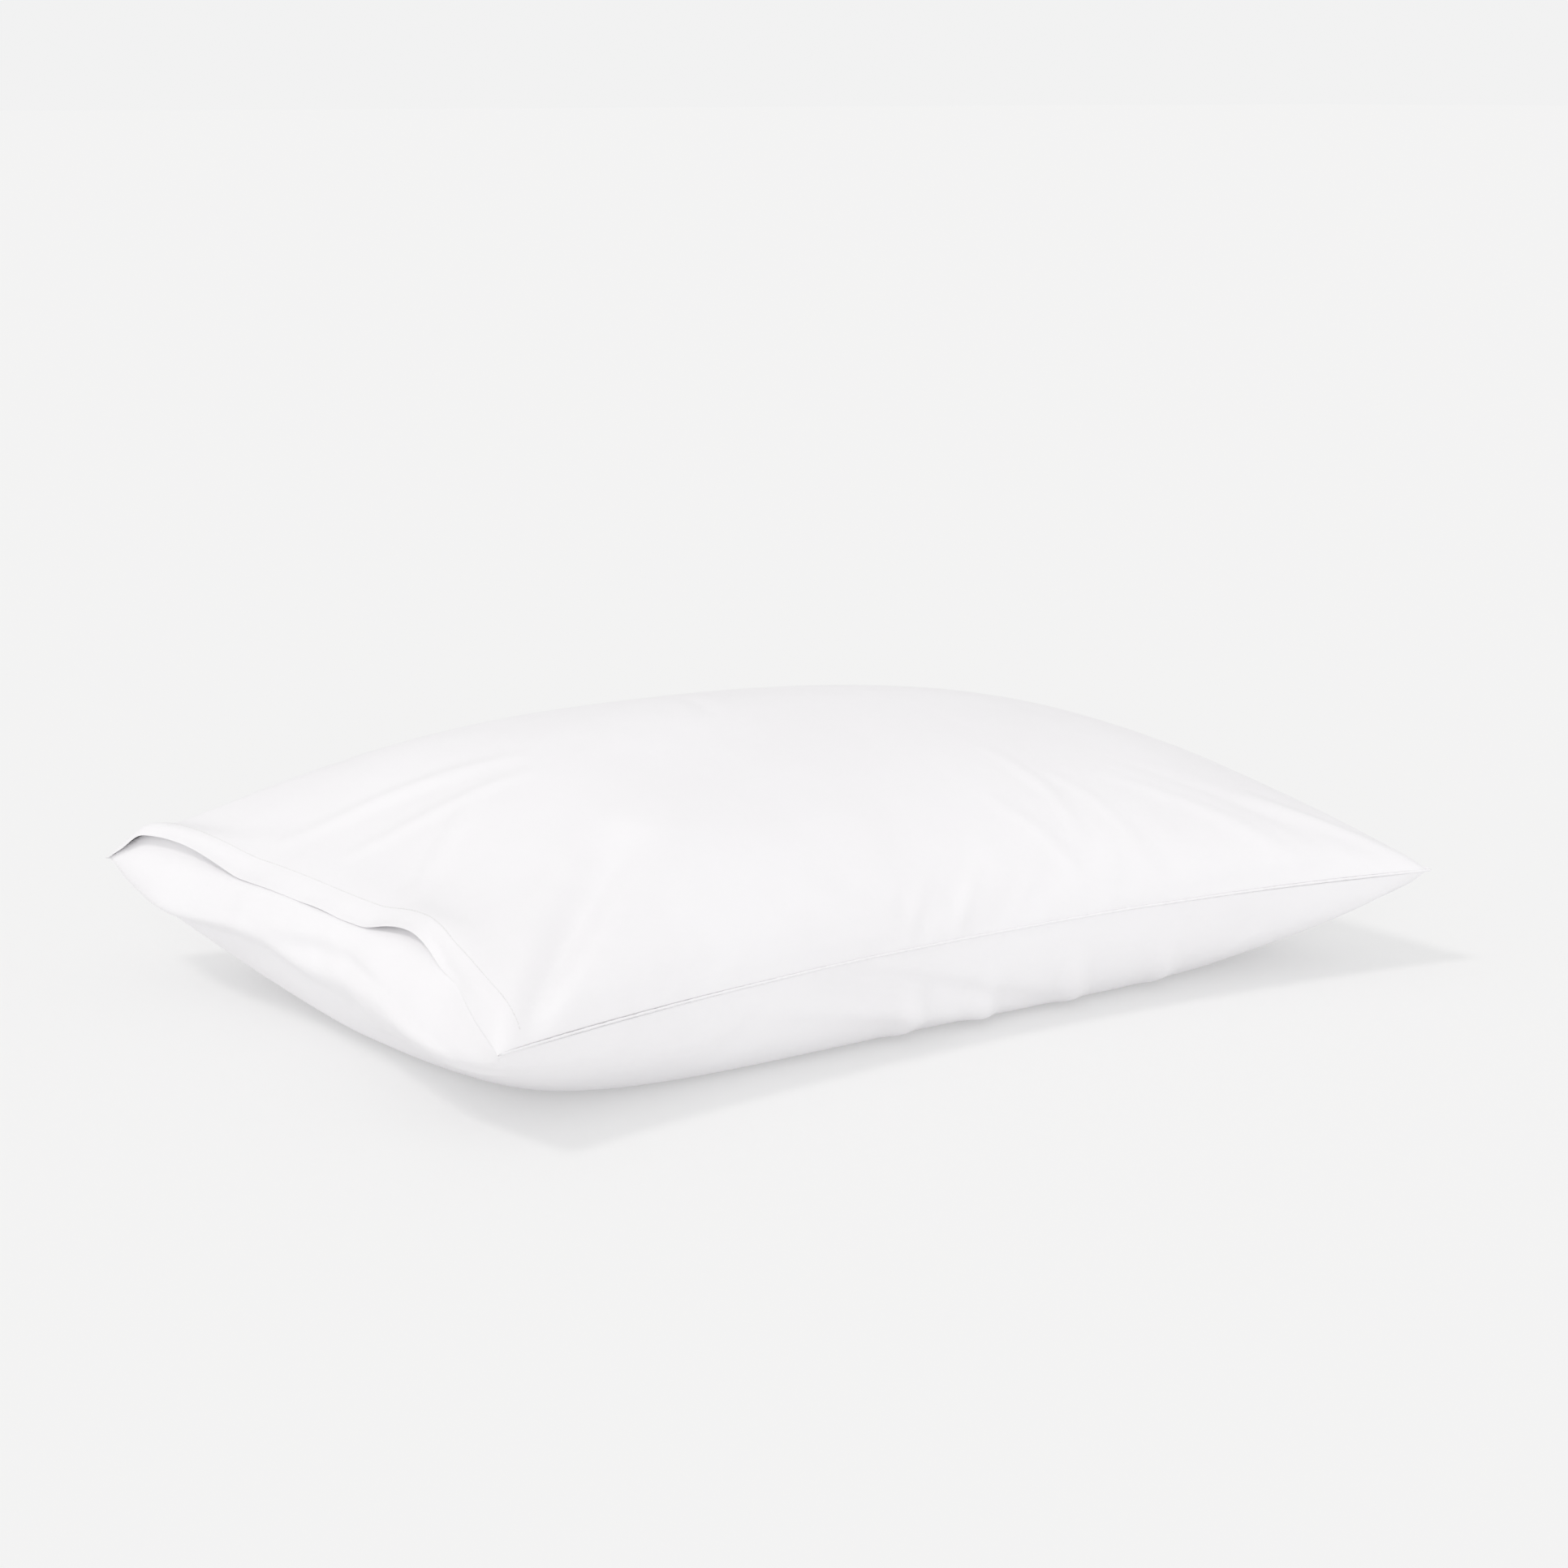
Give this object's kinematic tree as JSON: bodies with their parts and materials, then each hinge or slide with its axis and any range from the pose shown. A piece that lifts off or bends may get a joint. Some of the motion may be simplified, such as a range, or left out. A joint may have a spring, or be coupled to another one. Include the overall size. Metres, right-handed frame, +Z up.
{
  "type": "bed pillow",
  "caption": "Plump rectangular bed pillow in a plain white cotton case whose tuck-in flap closes the mouth, lying flat with its corners raised.",
  "frame": {"origin": "on the bed plane under the middle of the pillow's outline", "axes": "+X along the length from the mouth towards the closed end, -Y towards the long side shown, +Z up from the bed"},
  "size_m": [0.664, 0.47, 0.1661],
  "materials": {
    "percale": "white cotton percale, a fine plain weave, matte with a faint sheen",
    "thread": "white sewing thread",
    "label": "blank satin woven tape",
    "ticking": "off-white close-woven cotton ticking",
    "fibre": "white hollow polyester fibre"
  },
  "bodies": {
    "root": {"case_bottom_panel": "percale", "case_front_seam": "percale", "case_rear_seam": "percale", "case_end_seam": "percale", "insert_ticking_bottom": "ticking", "insert_edge_seam": "ticking", "insert_closing_stitch": "thread", "insert_fill": "fibre"},
    "crown": {"case_top_panel": "percale", "case_mouth_hem": "percale", "mouth_hem_stitch": "thread", "case_tuck_flap": "percale", "case_flap_hem": "percale", "case_care_label": "label", "insert_ticking_top": "ticking", "insert_care_label": "label"}
  },
  "joints": [
    {"name": "loft_press", "type": "slide", "parent": "root", "child": "crown", "axis": [0, 0, 1], "range_m": [-0.05, 0], "stiffness_N_per_m": 700, "deforming": ["case_top_panel", "case_mouth_hem", "mouth_hem_stitch", "case_tuck_flap", "case_flap_hem", "case_care_label", "insert_ticking_top", "insert_care_label", "insert_fill"]}
  ]
}
